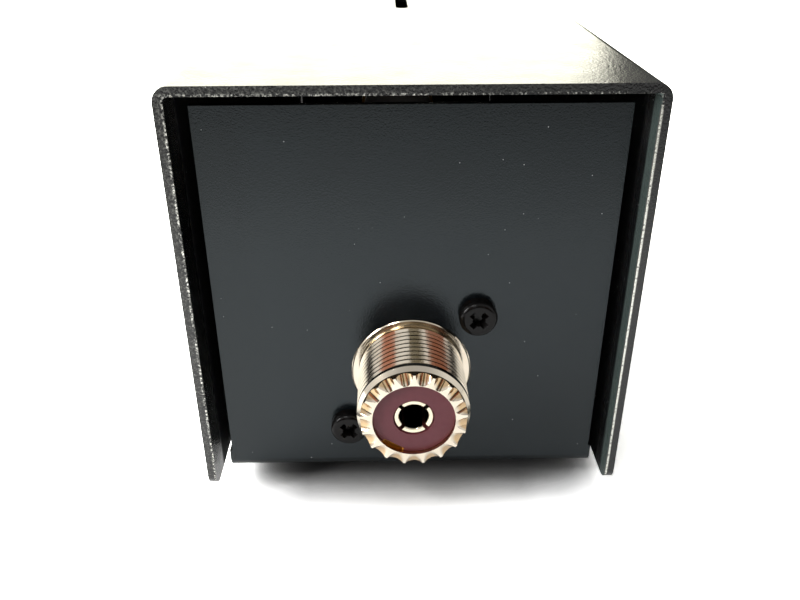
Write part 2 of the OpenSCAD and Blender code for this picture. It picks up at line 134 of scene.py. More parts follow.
# Steps round a turned shape, and along one turn of the thread
BARREL_STEPS = 144
CROWN_STEPS = 10 * CROWN_TEETH
SCREW_STEPS = 64
DRILL_STEPS = 64
THREAD_STEPS = 96

FLANK_ANGLE = math.radians(30)
SMOOTH_ANGLE = math.radians(32)
EDGE_ANGLE = math.radians(40)


def pick(piece):
    """Makes one piece the only selected one, and the active one."""
    bpy.ops.object.select_all(action="DESELECT")
    piece.select_set(True)
    bpy.context.view_layer.objects.active = piece


def finish_with(piece, kind, **settings):
    """Adds a modifier with its settings to a piece and applies it."""
    pick(piece)
    modifier = piece.modifiers.new(kind.title(), kind)
    for key, value in settings.items():
        setattr(modifier, key, value)
    bpy.ops.object.modifier_apply(modifier=modifier.name)


def round_edges(piece, width, segments=2):
    """Rounds every sharp edge, as paint, plating or tumbling does, and smooths the shading."""
    finish_with(
        piece, "BEVEL", width=width, segments=segments, limit_method="ANGLE", angle_limit=EDGE_ANGLE
    )
    bpy.ops.object.shade_smooth_by_angle(angle=SMOOTH_ANGLE)
    finish_with(piece, "WEIGHTED_NORMAL", keep_sharp=True)


def cut(piece, cutter):
    """Cuts one closed shape out of another."""
    finish_with(piece, "BOOLEAN", operation="DIFFERENCE", solver="EXACT", object=cutter)


def put(piece, matrix):
    """Sets a piece in place and leaves that place in its mesh."""
    piece.matrix_world = matrix
    pick(piece)
    bpy.ops.object.transform_apply(location=True, rotation=True, scale=True)


def merged_copy(node, name):
    """Copies a CAD node's mesh to a piece of its own, closes its seams and clears lines from flat faces."""
    piece = bpy.data.objects.new(name, nodes[node].data.copy())
    bpy.context.scene.collection.objects.link(piece)
    pick(piece)
    bpy.ops.mesh.customdata_custom_splitnormals_clear()
    bpy.ops.object.mode_set(mode="EDIT")
    bpy.ops.mesh.select_all(action="SELECT")
    bpy.ops.mesh.remove_doubles(threshold=0.002 * MM)
    bpy.ops.mesh.dissolve_limited(angle_limit=math.radians(0.3))
    bpy.ops.object.mode_set(mode="OBJECT")
    return piece


def turned(name, section, steps):
    """Spins a closed section, given as (radius, height) corners, about Z."""
    bpy.ops.object.select_all(action="DESELECT")
    bpy.ops.mesh.primitive_circle_add(vertices=len(section), radius=1)
    piece = bpy.context.object
    piece.name = name
    for corner, (radius, height) in zip(piece.data.vertices, section):
        corner.co = (radius, 0, height)
    bpy.ops.object.mode_set(mode="EDIT")
    bpy.ops.mesh.select_all(action="SELECT")
    bpy.ops.mesh.spin(steps=steps, angle=math.tau, center=(0, 0, 0), axis=(0, 0, 1))
    bpy.ops.mesh.select_all(action="SELECT")
    bpy.ops.mesh.remove_doubles(threshold=0.001)
    bpy.ops.mesh.delete_loose()
    bpy.ops.mesh.select_all(action="SELECT")
    bpy.ops.mesh.normals_make_consistent(inside=False)
    bpy.ops.object.mode_set(mode="OBJECT")
    return piece


def arc(centre, radius, start, end, count):
    """Corners along an arc in a section, from one angle to another in degrees."""
    turns = [math.radians(start + (end - start) * i / count) for i in range(count + 1)]
    return [(centre[0] + radius * math.cos(t), centre[1] + radius * math.sin(t)) for t in turns]


def from_panel(x=0.0, z=0.0):
    """Points a shape built along +Z forward from the panel's face, at a place beside the socket's axis."""
    place = Matrix.Translation((x * MM, panel_y, socket_z + z * MM))
    return place @ Matrix.Rotation(math.radians(90), 4, "X") @ Matrix.Scale(MM, 4)


# Pieces

def make_thread_groove():
    """Helical groove, as a closed bar with a flat root and 60 degree flanks."""
    top_r = BARREL_R + GROOVE_PROUD
    root_r = BARREL_R - THREAD_DEPTH
    half_top = GROOVE_ROOT + (top_r - root_r) * math.tan(FLANK_ANGLE)
    corners = [(root_r, -GROOVE_ROOT), (top_r, -half_top), (top_r, half_top), (root_r, GROOVE_ROOT)]
    bpy.ops.object.select_all(action="DESELECT")
    bpy.ops.mesh.primitive_circle_add(vertices=len(corners), radius=1)
    groove = bpy.context.object
    for corner, (radius, height) in zip(groove.data.vertices, corners):
        corner.co = (0, -radius, THREAD_START + height)
    finish_with(
        groove, "SCREW", axis="Z", angle=math.tau, iterations=THREAD_TURNS, screw_offset=THREAD_PITCH,
        steps=THREAD_STEPS, render_steps=THREAD_STEPS,
        use_merge_vertices=True, merge_threshold=0.0005, use_normal_calculate=False,
    )
    bpy.ops.object.mode_set(mode="EDIT")
    bpy.ops.mesh.select_all(action="SELECT")
    bpy.ops.mesh.fill_holes(sides=0)
    bpy.ops.mesh.select_all(action="SELECT")
    bpy.ops.mesh.normals_make_consistent(inside=False)
    bpy.ops.object.mode_set(mode="OBJECT")
    return groove


def make_barrel():
    """Turned barrel on its boss and hub, with the thread cut into it."""
    relief_end = BOSS_RISE + RELIEF_W
    lead_end = REACH - CROWN_H
    lead_start = lead_end - LEAD_L
    barrel = turned("socket_shell", [
        (TAIL_R, HUB_END), (HUB_R, HUB_END), (HUB_R, -PANEL_T), (BOSS_R, -PANEL_T),
        (BOSS_R, BOSS_RISE - BOSS_RIM), (BOSS_R - BOSS_RIM, BOSS_RISE), (RELIEF_R, BOSS_RISE),
        (RELIEF_R, relief_end), (BARREL_R - CHAMFER, relief_end), (BARREL_R, relief_end + CHAMFER),
        (BARREL_R, lead_start), (BARREL_R - LEAD_BREAK_R, lead_start + LEAD_BREAK_L),
        (CROWN_R + LEAD_FOOT_R, lead_end - LEAD_FOOT_L), (CROWN_R, lead_end),
        (BORE_R, lead_end), (BORE_R, HUB_END + LIP), (TAIL_R, HUB_END + LIP),
    ], BARREL_STEPS)
    groove = make_thread_groove()
    cut(barrel, groove)
    bpy.data.objects.remove(groove)
    return barrel


def make_crown():
    """Ring of teeth on the barrel's mouth: round notches that run out of a plain rim and deepen outwards."""
    foot = REACH - CROWN_H - CROWN_OVERLAP
    crown = turned("socket_crown", [
        (BORE_R, foot), (CROWN_R, foot), (CROWN_R, REACH), (BORE_R, REACH),
    ], CROWN_STEPS)
    run = CROWN_R - NOTCH_START_R
    slope = math.atan(NOTCH_DEPTH / run)
    bpy.ops.object.select_all(action="DESELECT")
    bpy.ops.mesh.primitive_cylinder_add(
        vertices=DRILL_STEPS, radius=NOTCH_R, depth=8 * run, rotation=(0, math.pi / 2 + slope, 0),
        location=(NOTCH_START_R, 0, REACH + NOTCH_R),
    )
    notch = bpy.context.object
    bpy.ops.object.transform_apply(location=True, rotation=True, scale=True)
    bpy.ops.object.mode_set(mode="EDIT")
    bpy.ops.mesh.select_all(action="SELECT")
    bpy.ops.mesh.bisect(plane_co=(0.5 * BORE_R, 0, 0), plane_no=(1, 0, 0), use_fill=True, clear_inner=True)
    bpy.ops.object.mode_set(mode="OBJECT")
    for tooth in range(CROWN_TEETH):
        notch.rotation_euler.z = math.radians(90) + (tooth + 0.5) * math.tau / CROWN_TEETH
        cut(crown, notch)
    bpy.data.objects.remove(notch)
    round_edges(crown, CROWN_EDGE)
    return crown


def make_flange():
    """Square plate with rounded corners and four screw holes, behind the panel."""
    bpy.ops.object.select_all(action="DESELECT")
    bpy.ops.mesh.primitive_plane_add(size=FLANGE_W, location=(0, 0, -PANEL_T - FLANGE_T))
    flange = bpy.context.object
    bpy.ops.object.transform_apply(location=True, rotation=True, scale=True)
    bpy.ops.object.mode_set(mode="EDIT")
    bpy.ops.mesh.select_all(action="SELECT")
    bpy.ops.mesh.bevel(offset=FLANGE_CORNER_R, segments=8, affect="VERTICES")
    bpy.ops.mesh.select_all(action="SELECT")
    bpy.ops.mesh.extrude_region_move(TRANSFORM_OT_translate={"value": (0, 0, FLANGE_T)})
    bpy.ops.mesh.select_all(action="SELECT")
    bpy.ops.mesh.normals_make_consistent(inside=False)
    bpy.ops.object.mode_set(mode="OBJECT")
    bpy.ops.mesh.primitive_cylinder_add(vertices=DRILL_STEPS, radius=SCREW_HOLE_R, depth=4 * FLANGE_T)
    drill = bpy.context.object
    for x in (-SCREW_HOLE_AT, SCREW_HOLE_AT):
        for y in (-SCREW_HOLE_AT, SCREW_HOLE_AT):
            drill.location = (x, y, -PANEL_T)
            cut(flange, drill)
    drill.scale = (HUB_R / SCREW_HOLE_R, HUB_R / SCREW_HOLE_R, 1)
    drill.location = (0, 0, -PANEL_T)
    cut(flange, drill)
    bpy.data.objects.remove(drill)
    return flange


def make_socket_shell():
    """Socket body: threaded barrel, toothed crown and flange in one piece."""
    shell = make_barrel()
    others = [make_crown(), make_flange()]
    pick(shell)
    bpy.ops.object.shade_smooth_by_angle(angle=SMOOTH_ANGLE)
    for other in others:
        other.select_set(True)
    bpy.ops.object.join()
    put(shell, from_panel())
    return shell


def make_cross_recess():
    """Tapered cross with a wider middle, to be cut from a screw head that stands on Z = 0."""
    middle = HEAD_H - RECESS_DEPTH / 2
    bpy.ops.object.select_all(action="DESELECT")
    bpy.ops.mesh.primitive_cone_add(
        vertices=4, radius1=CORE_FOOT_R, radius2=CORE_MOUTH_R, depth=RECESS_DEPTH,
        location=(0, 0, middle + CORE_PROUD),
    )
    cross = bpy.context.object
    bpy.ops.object.transform_apply(location=True, rotation=True, scale=True)
    for turn in (45, 135):
        bpy.ops.object.select_all(action="DESELECT")
        bpy.ops.mesh.primitive_cube_add(
            size=1, location=(0, 0, middle), scale=(RECESS_SPAN, RECESS_ARM, RECESS_DEPTH)
        )
        arm = bpy.context.object
        bpy.ops.object.transform_apply(location=True, rotation=True, scale=True)
        for corner in arm.data.vertices:
            at_foot = corner.co.z < middle
            length, width = RECESS_FOOT if at_foot else RECESS_MOUTH
            corner.co.x *= length
            corner.co.y *= width
            if not at_foot:
                corner.co.z += RECESS_PROUD
        arm.rotation_euler.z = math.radians(turn)
        finish_with(cross, "BOOLEAN", operation="UNION", solver="EXACT", object=arm)
        bpy.data.objects.remove(arm)
    return cross


def make_pan_screw(shank):
    """Pan head screw with a cross recess; its head stands on Z = 0 and its shank hangs below."""
    screw = turned("pan_screw", [
        (0, HEAD_H), (HEAD_FLAT_R, HEAD_H),
        *arc((HEAD_R - HEAD_EDGE_R, HEAD_H - HEAD_EDGE_R), HEAD_EDGE_R, 90, 0, 10),
        (HEAD_R, HEAD_RIM), (HEAD_R - HEAD_RIM, 0), (SHANK_R, 0),
        (SHANK_R, POINT_CHAMFER - shank), (SHANK_R - POINT_CHAMFER, -shank), (0, -shank),
    ], SCREW_STEPS)
    cross = make_cross_recess()
    cut(screw, cross)
    bpy.data.objects.remove(cross)
    round_edges(screw, SCREW_EDGE)
    return screw


def place_screws(node, shank, places):
    """Puts a copy of one screw at each place, in its own mesh, for a CAD node of screws."""
    pattern = make_pan_screw(shank)
    made = []
    for number, place in enumerate(places, 1):
        screw = pattern.copy()
        screw.data = pattern.data.copy()
        screw.name = f"{node}_{number}"
        bpy.context.scene.collection.objects.link(screw)
        put(screw, place)
        made.append(screw)
    bpy.data.objects.remove(pattern)
    return made


def side_screw_places():
    """The four cover screws, pointing out of the cover's sides."""
    low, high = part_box("cover_screws")
    inset = HEAD_R * MM
    places = []
    for side in (-1, 1):
        for y in (low.y + inset, high.y - inset):
            middle = Vector((side * cover_high.x, y, (low.z + high.z) / 2))
            turn = Matrix.Rotation(math.radians(side * 90), 4, "Y")
            places.append(Matrix.Translation(middle) @ turn @ Matrix.Scale(MM, 4))
    return places


def floor_screw_places():
    """The two pillar screws, pointing down out of the chassis floor."""
    low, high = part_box("pillar_screws")
    inset = HEAD_R * MM
    turn = Matrix.Rotation(math.pi, 4, "X")
    return [
        Matrix.Translation((0, y, chassis_low_z)) @ turn @ Matrix.Scale(MM, 4)
        for y in (low.y + inset, high.y - inset)
    ]


cover = merged_copy("cover", "cover_sheet")
round_edges(cover, COVER_EDGE * MM, 3)
chassis = merged_copy("chassis", "chassis_sheet")
round_edges(chassis, CHASSIS_EDGE * MM)
insulator = merged_copy("connector_insulator", "socket_insulator")
round_edges(insulator, INSULATOR_EDGE * MM)
contact = merged_copy("center_contact", "socket_contact")
round_edges(contact, CONTACT_EDGE * MM)
shell = make_socket_shell()
flange_screws = place_screws("flange_screws", FLANGE_SHANK, [
    from_panel(SCREW_HOLE_AT, SCREW_HOLE_AT), from_panel(-SCREW_HOLE_AT, -SCREW_HOLE_AT)
])
cover_screws = place_screws("cover_screws", COVER_SHANK, side_screw_places())
pillar_screws = place_screws("pillar_screws", PILLAR_SHANK, floor_screw_places())


# Materials

# Cover's paint in millimetres: depths from the sheet's ends with their blends, among them the painted light
# strip on the right wall, grit, and the top of the painted highlight line down the right wall
GLOSS_DEPTH = 5.0
GLOSS_BLEND = 1.0
LIT_STRIP_DEPTH = 2.6
LIT_STRIP_BLEND = 0.6
SHEARED_DEPTH = 0.15
SHEARED_BLEND = 0.25
GRIT_SIZE = 0.28
HIGHLIGHT_LINE_TOP = 2.4
HIGHLIGHT_LINE_FULL = 3.4

# Places of painted light on the socket in millimetres: the painted reflection in the crown's notches, the
# painted shade down the contact's bore, and the painted amber reflection in the insulator's notch; and the
# turn of that notch in degrees
TIP_DEPTH = 0.10
NOTCH_REFLECTION_DEPTH = 0.35
BORE_SHADE_EDGE_R = 2.12
BORE_SHADE_FULL_R = 2.02
MARK_EDGE_R = 5.12
MARK_FULL_R = 5.2
MARK_EDGE_W = 1.75
MARK_FULL_W = 1.5
MARK_TURN = 238

# Places across the cover, in metres: the right wall, and where the painted light from the left on the sheet's
# ends is strongest and weakest
RIGHT_WALL_FROM = 29 * MM
RIGHT_WALL_FULL = 30 * MM
LIGHT_STRONG_X = -28 * MM
LIGHT_WEAK_X = 24 * MM


def linear(code):
    """Turns an sRGB hex colour to the linear colour that a shader takes."""
    parts = [int(code[i:i + 2], 16) / 255 for i in (1, 3, 5)]
    return (*(c / 12.92 if c <= 0.04045 else ((c + 0.055) / 1.055) ** 2.4 for c in parts), 1.0)


def per_metre(size_mm):
    """Scale of a pattern whose features are so many millimetres across."""
    return 1 / (size_mm * MM)


def node(tree, kind, settings=None, inputs=None):
    """Adds a shader node: settings fill its own properties, inputs fill or link its sockets."""
    made = tree.nodes.new(kind)
    for key, value in (settings or {}).items():
        setattr(made, key, value)
    for key, value in (inputs or {}).items():
        if isinstance(value, bpy.types.NodeSocket):
            tree.links.new(value, made.inputs[key])
        else:
            made.inputs[key].default_value = value
    return made


def start_material(name):
    """Starts a material: its tree, its Object coordinates and its main shader."""
    material = bpy.data.materials.new(name)
    material.use_nodes = True
    tree = material.node_tree
    tree.nodes.clear()
    shader = node(tree, "ShaderNodeBsdfPrincipled")
    node(tree, "ShaderNodeOutputMaterial", inputs={"Surface": shader.outputs["BSDF"]})
    where = node(tree, "ShaderNodeTexCoord").outputs["Object"]
    return material, tree, where, shader


def surface(tree, where, shader, colours, patch_mm, roughness, grain_mm, height_mm):
    """Breaks up a finish: two colours in soft patches, a range of roughness, and a fine grain in relief."""
    patches = node(tree, "ShaderNodeTexNoise", inputs={
        "Vector": where, "Scale": per_metre(patch_mm), "Detail": 4.0
    })
    grain = node(tree, "ShaderNodeTexNoise", inputs={
        "Vector": where, "Scale": per_metre(grain_mm), "Detail": 2.0
    })
    mix = node(tree, "ShaderNodeMix", {"data_type": "RGBA"}, {
        0: patches.outputs["Fac"], 6: linear(colours[0]), 7: linear(colours[1])
    })
    rough = node(tree, "ShaderNodeMapRange", inputs={
        "Value": patches.outputs["Fac"], "From Min": 0.3, "From Max": 0.7,
        "To Min": roughness[0], "To Max": roughness[1],
    })
    bump = node(tree, "ShaderNodeBump", inputs={"Distance": height_mm * MM, "Height": grain.outputs["Fac"]})
    tree.links.new(mix.outputs[2], shader.inputs["Base Color"])
    tree.links.new(rough.outputs["Result"], shader.inputs["Roughness"])
    tree.links.new(bump.outputs["Normal"], shader.inputs["Normal"])
    return rough.outputs["Result"]


def near_ends(tree, where, low, high, depth_mm, blend_mm):
    """1 within a depth of either end of a run along Y, and 0 between them."""
    place = node(tree, "ShaderNodeSeparateXYZ", inputs={"Vector": where}).outputs["Y"]
    off = node(tree, "ShaderNodeMath", {"operation": "SUBTRACT"}, {0: place, 1: (low + high) / 2})
    size = node(tree, "ShaderNodeMath", {"operation": "ABSOLUTE"}, {0: off.outputs[0]})
    half = (high - low) / 2
    return node(tree, "ShaderNodeMapRange", inputs={
        "Value": size.outputs[0],
        "From Min": half - (depth_mm + blend_mm) * MM,
        "From Max": half - depth_mm * MM,
    }).outputs["Result"]


def tint(tree, shader, amount, colour):
    """Lays a second colour over a finish where an amount says so."""
    under = shader.inputs["Base Color"].links[0].from_socket
    over = node(tree, "ShaderNodeMix", {"data_type": "RGBA"}, {0: amount, 6: under, 7: linear(colour)})
    tree.links.new(over.outputs[2], shader.inputs["Base Color"])


def specks(tree, where, apart_mm, across):
    """Sparse round specks of dust, as many millimetres apart and as large a part of that across."""
    cells = node(tree, "ShaderNodeTexVoronoi", inputs={"Vector": where, "Scale": per_metre(apart_mm)})
    return node(tree, "ShaderNodeMapRange", inputs={
        "Value": cells.outputs["Distance"], "From Min": across, "From Max": 0.6 * across
    }).outputs["Result"]


def past_inner_face(tree, place):
    """How far a place lies past the inner face of the cover's sheet, in metres."""
    aside = node(tree, "ShaderNodeMath", {"operation": "ABSOLUTE"}, {0: place.outputs["X"]})
    past_wall = node(tree, "ShaderNodeMath", {"operation": "SUBTRACT"}, {
        0: aside.outputs[0], 1: cover_high.x - SHEET_T * MM
    })
    past_roof = node(tree, "ShaderNodeMath", {"operation": "SUBTRACT"}, {
        0: place.outputs["Z"], 1: cover_high.z - SHEET_T * MM
    })
    return node(tree, "ShaderNodeMath", {"operation": "MAXIMUM"}, {
        0: past_wall.outputs[0], 1: past_roof.outputs[0]
    }).outputs[0]


def lay_overspray(tree, where, shader, past, right_wall, rough):
    """Paint inside the cover: dried matt deep inside, and a grey-green painted light strip on the right wall
    by its ends, where light from the left falls.
    """
    inside = node(tree, "ShaderNodeMapRange", inputs={
        "Value": past, "From Min": 0.04 * MM, "From Max": 0.02 * MM
    }).outputs["Result"]
    deep = node(tree, "ShaderNodeMapRange", inputs={
        "Value": near_ends(tree, where, cover_low.y, cover_high.y, GLOSS_DEPTH, GLOSS_BLEND),
        "To Min": 1.0, "To Max": 0.0,
    })
    dry = node(tree, "ShaderNodeMath", {"operation": "MULTIPLY"}, {0: inside, 1: deep.outputs["Result"]})
    matt = node(tree, "ShaderNodeMapRange", inputs={"Value": dry.outputs[0], "To Min": rough, "To Max": 0.7})
    tree.links.new(matt.outputs["Result"], shader.inputs["Roughness"])
    dull = node(tree, "ShaderNodeMapRange", inputs={"Value": dry.outputs[0], "To Min": 0.5, "To Max": 0.1})
    tree.links.new(dull.outputs["Result"], shader.inputs["Specular IOR Level"])
    mouth = near_ends(tree, where, cover_low.y, cover_high.y, LIT_STRIP_DEPTH, LIT_STRIP_BLEND)
    on_right = node(tree, "ShaderNodeMath", {"operation": "MULTIPLY"}, {0: inside, 1: right_wall})
    lit_strip = node(tree, "ShaderNodeMath", {"operation": "MULTIPLY"}, {0: mouth, 1: on_right.outputs[0]})
    # The grey-green tint is painted light: the lit strip of the right wall's inner face by its ends.
    tint(tree, shader, lit_strip.outputs[0], "#4f5a57")


def grey_and_light_the_ends(tree, place, shader, ends, grit):
    """Grey grit on the sheared ends of the sheet, partly thinner paint and partly painted light on the rough
    cut, stronger to the left where the light comes from.
    """
    pale = node(tree, "ShaderNodeMapRange", inputs={
        "Value": grit, "From Min": 0.46, "From Max": 0.72, "To Max": 0.45
    })
    # Painted light: the ends are lighter to the left, where the light comes from.
    left_light_share = node(tree, "ShaderNodeMapRange", inputs={
        "Value": place.outputs["X"], "From Min": LIGHT_STRONG_X, "From Max": LIGHT_WEAK_X,
        "To Min": 1.0, "To Max": 0.1,
    })
    coarse = node(tree, "ShaderNodeMath", {"operation": "MULTIPLY"}, {
        0: pale.outputs["Result"], 1: left_light_share.outputs["Result"]
    })
    grit_and_painted_light = node(tree, "ShaderNodeMath", {"operation": "MULTIPLY"}, {0: ends, 1: coarse.outputs[0]})
    # The grey tint is partly thinner paint and partly painted light.
    tint(tree, shader, grit_and_painted_light.outputs[0], "#8d8d86")


def paint_inner_edge_highlight(tree, place, shader, past, right_wall, ends, grit):
    """Pale uncoated steel along the sheet's inner edge, laid out as a painted highlight: specks at the left
    and above, a line down the right wall where light from the left catches it.
    """
    # Painted light: more pale edge to the left, where the light comes from.
    left_light_drift = node(tree, "ShaderNodeMapRange", inputs={
        "Value": place.outputs["X"], "From Min": LIGHT_STRONG_X, "From Max": LIGHT_WEAK_X,
        "To Min": 0.03, "To Max": -0.07,
    })
    # Painted highlight: a line down the right wall's inner edge, below its top.
    below = node(tree, "ShaderNodeMapRange", inputs={
        "Value": place.outputs["Z"], "From Min": cover_high.z - HIGHLIGHT_LINE_TOP * MM,
        "From Max": cover_high.z - HIGHLIGHT_LINE_FULL * MM, "To Max": 0.30,
    })
    line = node(tree, "ShaderNodeMath", {"operation": "MULTIPLY"}, {
        0: right_wall, 1: below.outputs["Result"]
    })
    more = node(tree, "ShaderNodeMath", {"operation": "ADD"}, {
        0: left_light_drift.outputs["Result"], 1: line.outputs[0]
    })
    through = node(tree, "ShaderNodeMath", {"operation": "ADD"}, {0: grit, 1: more.outputs[0]})
    bare_and_lit_specks = node(tree, "ShaderNodeMapRange", inputs={
        "Value": through.outputs[0], "From Min": 0.50, "From Max": 0.68
    })
    inner = node(tree, "ShaderNodeMapRange", inputs={
        "Value": past, "From Min": 0.36 * MM, "From Max": 0.22 * MM
    })
    edge = node(tree, "ShaderNodeMath", {"operation": "MULTIPLY"}, {
        0: inner.outputs["Result"], 1: bare_and_lit_specks.outputs["Result"]
    })
    bare_and_highlight = node(tree, "ShaderNodeMath", {"operation": "MULTIPLY"}, {0: edge.outputs[0], 1: ends})
    # The pale tint is a painted highlight over uncoated steel.
    tint(tree, shader, bare_and_highlight.outputs[0], "#d5d5cd")
    tree.links.new(bare_and_highlight.outputs[0], shader.inputs["Metallic"])


def textured_black_enamel():
    """Baked black enamel on steel sheet, sprayed to a fine orange peel that breaks reflections into sparkle.

    The sheared ends of the sheet took less paint and carry painted light, so they are greyer towards the
    left; their inner edge shows uncoated steel laid out as a painted highlight, and the right wall's inner
    face a painted light strip by its ends.
    """
    material, tree, where, shader = start_material("textured_black_enamel")
    rough = surface(
        tree, where, shader, ("#101112", "#191a1b"),
        patch_mm=6, roughness=(0.17, 0.25), grain_mm=0.32, height_mm=0.040,
    )
    shader.inputs["IOR"].default_value = 1.5
    tint(tree, shader, specks(tree, where, 2.0, 0.05), "#9a9a98")
    place = node(tree, "ShaderNodeSeparateXYZ", inputs={"Vector": where})
    past = past_inner_face(tree, place)
    right_wall = node(tree, "ShaderNodeMapRange", inputs={
        "Value": place.outputs["X"], "From Min": RIGHT_WALL_FROM, "From Max": RIGHT_WALL_FULL
    }).outputs["Result"]
    # Matt paint inside, with the painted light strip on the right wall.
    lay_overspray(tree, where, shader, past, right_wall, rough)
    ends = near_ends(tree, where, cover_low.y, cover_high.y, SHEARED_DEPTH, SHEARED_BLEND)
    grit = node(tree, "ShaderNodeTexNoise", inputs={
        "Vector": where, "Scale": per_metre(GRIT_SIZE), "Detail": 3.0
    }).outputs["Fac"]
    # Painted light on the sheared ends, stronger to the left.
    grey_and_light_the_ends(tree, place, shader, ends, grit)
    # Painted highlight along the inner edge.
    paint_inner_edge_highlight(tree, place, shader, past, right_wall, ends, grit)
    return material


def satin_black_enamel():
    """Satin black enamel on steel sheet: a fine peel that mirrors what stands before it in broken patches."""
    material, tree, where, shader = start_material("satin_black_enamel")
    surface(
        tree, where, shader, ("#0b0e10", "#12171a"),
        patch_mm=9, roughness=(0.15, 0.22), grain_mm=0.22, height_mm=0.020,
    )
    shader.inputs["IOR"].default_value = 1.42
    shader.inputs["Specular Tint"].default_value = linear("#eefaff")
    tint(tree, shader, specks(tree, where, 2.2, 0.04), "#a9adad")
    return material


def black_oxide():
    """Oiled black oxide on steel screws: near black, with hard bright glints on every rounded edge."""
    material, tree, where, shader = start_material("black_oxide")
    surface(
        tree, where, shader, ("#060505", "#0e0c0b"),
        patch_mm=0.8, roughness=(0.12, 0.20), grain_mm=0.15, height_mm=0.008,
    )
    shader.inputs["IOR"].default_value = 1.25
    return material


def bright_nickel():
    """Bright nickel plate over turned brass: a warm mirror, with a painted golden-brown reflection in the
    notches of the crown.
    """
    material, tree, where, shader = start_material("bright_nickel")
    surface(
        tree, where, shader, ("#d8cfc0", "#c9bda8"),
        patch_mm=2.5, roughness=(0.10, 0.18), grain_mm=0.25, height_mm=0.004,
    )
    shader.inputs["Metallic"].default_value = 1.0
    depth = node(tree, "ShaderNodeSeparateXYZ", inputs={"Vector": where}).outputs["Y"]
    behind_tips = node(tree, "ShaderNodeMapRange", inputs={
        "Value": depth, "From Min": shell_low.y + TIP_DEPTH * MM,
        "From Max": shell_low.y + NOTCH_REFLECTION_DEPTH * MM, "To Max": 0.6,
    })
    on_crown = node(tree, "ShaderNodeMapRange", inputs={
        "Value": depth, "From Min": shell_low.y + CROWN_H * MM, "From Max": shell_low.y + 0.9 * CROWN_H * MM
    })
    notch_reflection = node(tree, "ShaderNodeMath", {"operation": "MULTIPLY"}, {
        0: behind_tips.outputs["Result"], 1: on_crown.outputs["Result"]
    })
    # The golden-brown tint in the notches is a painted reflection.
    tint(tree, shader, notch_reflection.outputs[0], "#b58a45")
    return material


def silver_plate():
    """Silver plate on the slotted contact: bright and slightly yellowed, with painted shade dark down its
    bore.
    """
    material, tree, where, shader = start_material("silver_plate")
    surface(
        tree, where, shader, ("#e2dac8", "#d3c6a6"),
        patch_mm=1.2, roughness=(0.14, 0.24), grain_mm=0.2, height_mm=0.004,
    )
    shader.inputs["Metallic"].default_value = 1.0
    middle = node(tree, "ShaderNodeVectorMath", {"operation": "SUBTRACT"}, {0: where, 1: (0, 0, socket_z)})
    flat = node(tree, "ShaderNodeVectorMath", {"operation": "MULTIPLY"}, {0: middle.outputs[0], 1: (1, 0, 1)})
    off = node(tree, "ShaderNodeVectorMath", {"operation": "LENGTH"}, {0: flat.outputs[0]})
    inside = node(tree, "ShaderNodeMapRange", inputs={
        "Value": off.outputs["Value"], "From Min": BORE_SHADE_EDGE_R * MM, "From Max": BORE_SHADE_FULL_R * MM
    })
    # The dark tint down the bore is painted shade.
    tint(tree, shader, inside.outputs["Result"], "#1d1813")
    return material


def red_brown_phenolic():
    """Moulded red-brown phenolic with wood flour in it: faintly mottled, dull, with a painted amber
    reflection in the notch at its rim.
    """
    material, tree, where, shader = start_material("red_brown_phenolic")
    surface(
        tree, where, shader, ("#5f2730", "#6d363d"),
        patch_mm=0.9, roughness=(0.34, 0.46), grain_mm=0.3, height_mm=0.006,
    )
    shader.inputs["IOR"].default_value = 1.40
    turn = math.radians(MARK_TURN)
    out = Vector((math.cos(turn), 0, math.sin(turn)))
    across = Vector((-math.sin(turn), 0, math.cos(turn)))
    middle = node(tree, "ShaderNodeVectorMath", {"operation": "SUBTRACT"}, {0: where, 1: (0, 0, socket_z)})
    away = node(tree, "ShaderNodeVectorMath", {"operation": "DOT_PRODUCT"}, {0: middle.outputs[0], 1: out})
    aside = node(tree, "ShaderNodeVectorMath", {"operation": "DOT_PRODUCT"}, {
        0: middle.outputs[0], 1: across
    })
    width = node(tree, "ShaderNodeMath", {"operation": "ABSOLUTE"}, {0: aside.outputs["Value"]})
    beyond = node(tree, "ShaderNodeMapRange", inputs={
        "Value": away.outputs["Value"], "From Min": MARK_EDGE_R * MM, "From Max": MARK_FULL_R * MM
    })
    within = node(tree, "ShaderNodeMapRange", inputs={
        "Value": width.outputs[0], "From Min": MARK_EDGE_W * MM, "From Max": MARK_FULL_W * MM
    })
    mark = node(tree, "ShaderNodeMath", {"operation": "MULTIPLY"}, {
        0: beyond.outputs["Result"], 1: within.outputs["Result"]
    })
    # The amber tint in the notch is a painted reflection of the crown.
    tint(tree, shader, mark.outputs[0], "#c98a2e")
    return material


def moulded_rubber():
    """Moulded black rubber: matt, with a fine moulded grain."""
    material, tree, where, shader = start_material("moulded_rubber")
    surface(
        tree, where, shader, ("#161616", "#222222"),
        patch_mm=2, roughness=(0.65, 0.80), grain_mm=0.4, height_mm=0.02,
    )
    return material


def zinc_plate():
    """Clear zinc plate on steel nuts, washers and screws: pale bluish grey, slightly cloudy."""
    material, tree, where, shader = start_material("zinc_plate")
    surface(
        tree, where, shader, ("#b4babd", "#c9cccb"),
        patch_mm=1.5, roughness=(0.28, 0.42), grain_mm=0.3, height_mm=0.006,
    )
    shader.inputs["Metallic"].default_value = 1.0
    return material


def carbon_ceramic():
    """Fired carbon and clay rod, dark grey and matt, with sprayed metal over its last stretch at each end."""
    material, tree, where, shader = start_material("carbon_ceramic")
    surface(
        tree, where, shader, ("#3a3836", "#4e4a46"),
        patch_mm=3, roughness=(0.70, 0.85), grain_mm=0.35, height_mm=0.03,
    )
    low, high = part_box("resistor_rod")
    ends = near_ends(tree, where, low.y, high.y, depth_mm=16.4, blend_mm=0.6)
    tint(tree, shader, ends, "#b9b7b2")
    tree.links.new(ends, shader.inputs["Metallic"])
    return material


